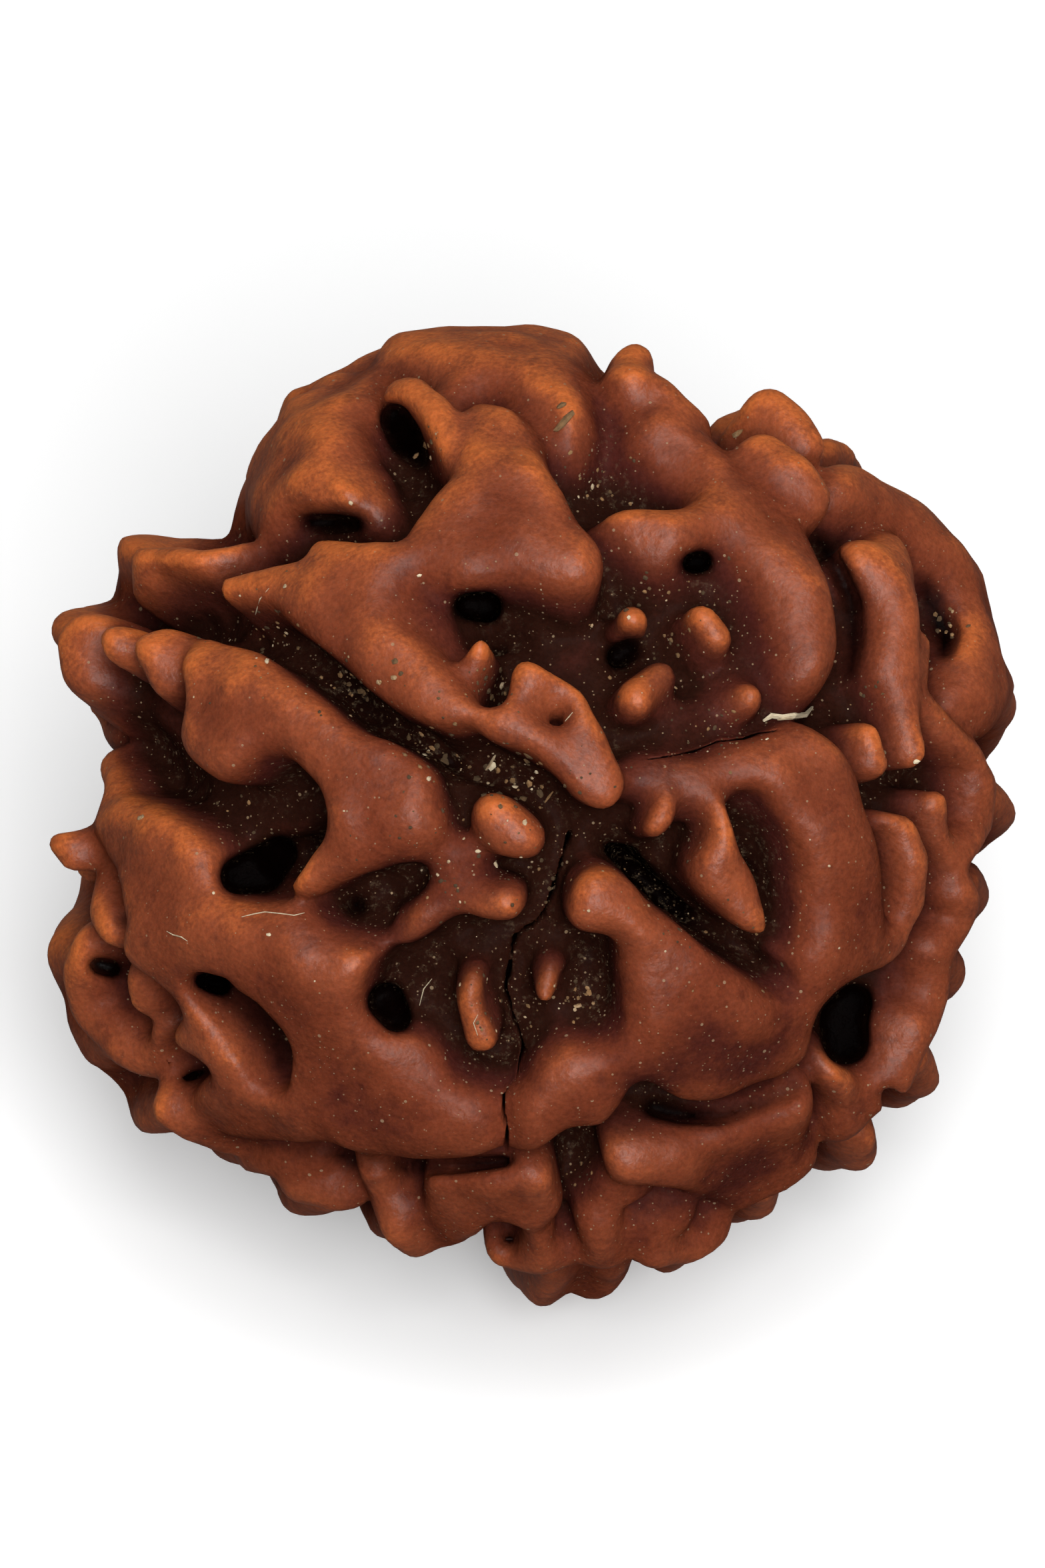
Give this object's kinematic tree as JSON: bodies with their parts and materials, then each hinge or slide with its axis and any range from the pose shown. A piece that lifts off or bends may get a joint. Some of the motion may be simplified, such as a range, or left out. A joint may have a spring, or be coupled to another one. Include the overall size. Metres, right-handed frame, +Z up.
{
  "type": "rudraksha bead",
  "caption": "Round woody fruit stone covered in ridges, knobs and pits, with grooves that run from pole to pole. It rests on a small flat spot.",
  "frame": {"origin": "centre of the small flat spot that the bead rests on", "axes": "+Z up from the surface; the face where the grooves meet looks towards -Y and up"},
  "size_m": [0.0236, 0.0235, 0.0231],
  "materials": {
    "bead_wood": "hard reddish-brown stone with a soft waxy sheen on the ridges and dull, dusty, dark hollows"
  },
  "bodies": {
    "root": {"bead": "bead_wood"}
  },
  "joints": []
}
